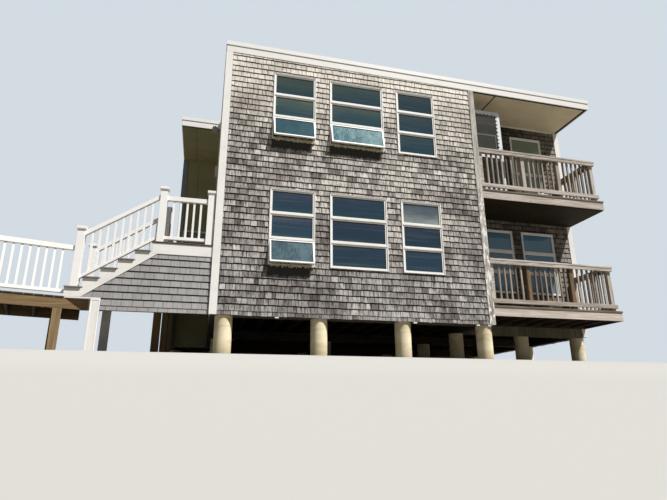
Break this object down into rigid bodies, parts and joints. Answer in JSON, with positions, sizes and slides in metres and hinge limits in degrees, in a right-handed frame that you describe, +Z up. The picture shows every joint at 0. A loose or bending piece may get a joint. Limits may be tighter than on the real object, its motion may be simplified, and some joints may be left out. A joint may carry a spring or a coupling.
{
  "type": "apartment building",
  "caption": "Two-storey shingled apartment building on concrete piers with stacked awning windows, corner balconies under a flat roof and a raised side entry with white stairs.",
  "frame": {"origin": "middle of the footprint at the foot of the piers", "axes": "+X along the front to the right, +Y into the building, +Z up"},
  "size_m": [15.2344, 10.2578, 6.6115],
  "materials": {
    "composite_deck": "grey composite decking",
    "concrete": "cast concrete",
    "door_leaf": "painted door",
    "door_screen": "storm door pane",
    "glass": "window glass",
    "lamp_metal": "grey lamp housing",
    "painted_trim": "white painted trim",
    "plywood": "plywood soffit",
    "roof_metal": "white metal drip edge",
    "roofing": "roof deck and membrane",
    "shingled_wall": "timber wall under cedar shingles",
    "timber": "framing timber",
    "weathered_wood": "weathered grey wood",
    "white_vinyl": "white vinyl railing",
    "window_frame": "white window frame"
  },
  "bodies": {
    "root": {"back_wall": "shingled_wall", "deck_boards": "composite_deck", "deck_fascia": "painted_trim", "deck_frame": "timber", "door_frames": "painted_trim", "doors": "door_leaf", "drip_edge": "roof_metal", "entry_landing": "timber", "entry_skirt": "shingled_wall", "entry_wall": "shingled_wall", "floodlight": "lamp_metal", "floor_girders": "timber", "floor_joists": "timber", "front_wall": "shingled_wall", "left_wall": "shingled_wall", "lower_balcony_balusters": "weathered_wood", "lower_balcony_decking": "weathered_wood", "lower_balcony_frame": "weathered_wood", "lower_balcony_railing": "weathered_wood", "lower_floor": "timber", "lower_window_frames": "window_frame", "lower_window_glass": "glass", "lower_window_sashes": "window_frame", "lower_window_trim": "painted_trim", "piers": "concrete", "recess_base_boards": "weathered_wood", "recess_side_wall": "shingled_wall", "recess_wall": "shingled_wall", "right_wall": "shingled_wall", "roof_deck": "roofing", "roof_fascia": "painted_trim", "roof_spout": "roof_metal", "soffit_moulding": "painted_trim", "soffits": "plywood", "stair_foot_posts": "painted_trim", "stair_risers": "painted_trim", "stair_stringers": "painted_trim", "stair_treads": "composite_deck", "storm_door": "painted_trim", "storm_door_panes": "door_screen", "upper_balcony_balusters": "weathered_wood", "upper_balcony_ceiling": "plywood", "upper_balcony_decking": "weathered_wood", "upper_balcony_frame": "weathered_wood", "upper_balcony_railing": "weathered_wood", "upper_floor": "timber", "upper_window_frames": "window_frame", "upper_window_glass": "glass", "upper_window_sashes": "window_frame", "upper_window_trim": "painted_trim", "wall_lamp": "lamp_metal", "weathered_corner_board": "weathered_wood", "white_balusters": "white_vinyl", "white_corner_boards": "painted_trim", "white_newels": "white_vinyl", "white_rails": "white_vinyl", "wing_wall": "shingled_wall"}
  },
  "joints": []
}
